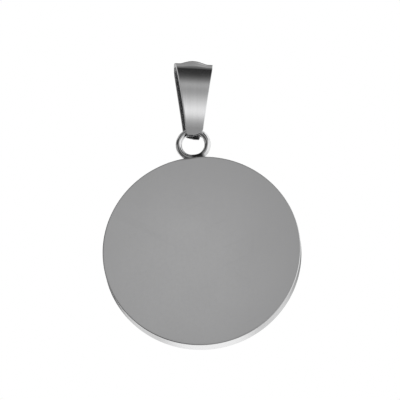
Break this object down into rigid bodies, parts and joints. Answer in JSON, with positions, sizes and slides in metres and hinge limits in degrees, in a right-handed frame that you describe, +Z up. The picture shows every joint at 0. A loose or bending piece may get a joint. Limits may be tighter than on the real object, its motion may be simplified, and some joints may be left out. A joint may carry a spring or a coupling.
{
  "type": "round disc pendant with a folded bail",
  "caption": "Round polished steel disc pendant with a blank face, a ring soldered to its rim and a folded, tapered strip bail that hooks through the ring.",
  "frame": {"origin": "inside top of the bail's fold, where a chain bears", "axes": "+Z up as the pendant hangs, -Y the front of the disc, +X to the right seen from the front"},
  "size_m": [0.025, 0.0036, 0.0383],
  "materials": {
    "disc_steel": "polished",
    "bail_steel": "polished"
  },
  "bodies": {
    "bail": {"bail": "bail_steel"},
    "disc": {"disc_and_ring": "disc_steel"}
  },
  "joints": [
    {"name": "disc_swing", "type": "hinge", "parent": "bail", "child": "disc", "pos_m": [0, 0, -0.00925], "axis": [1, 0, 0], "range_deg": [-55, 55]}
  ]
}
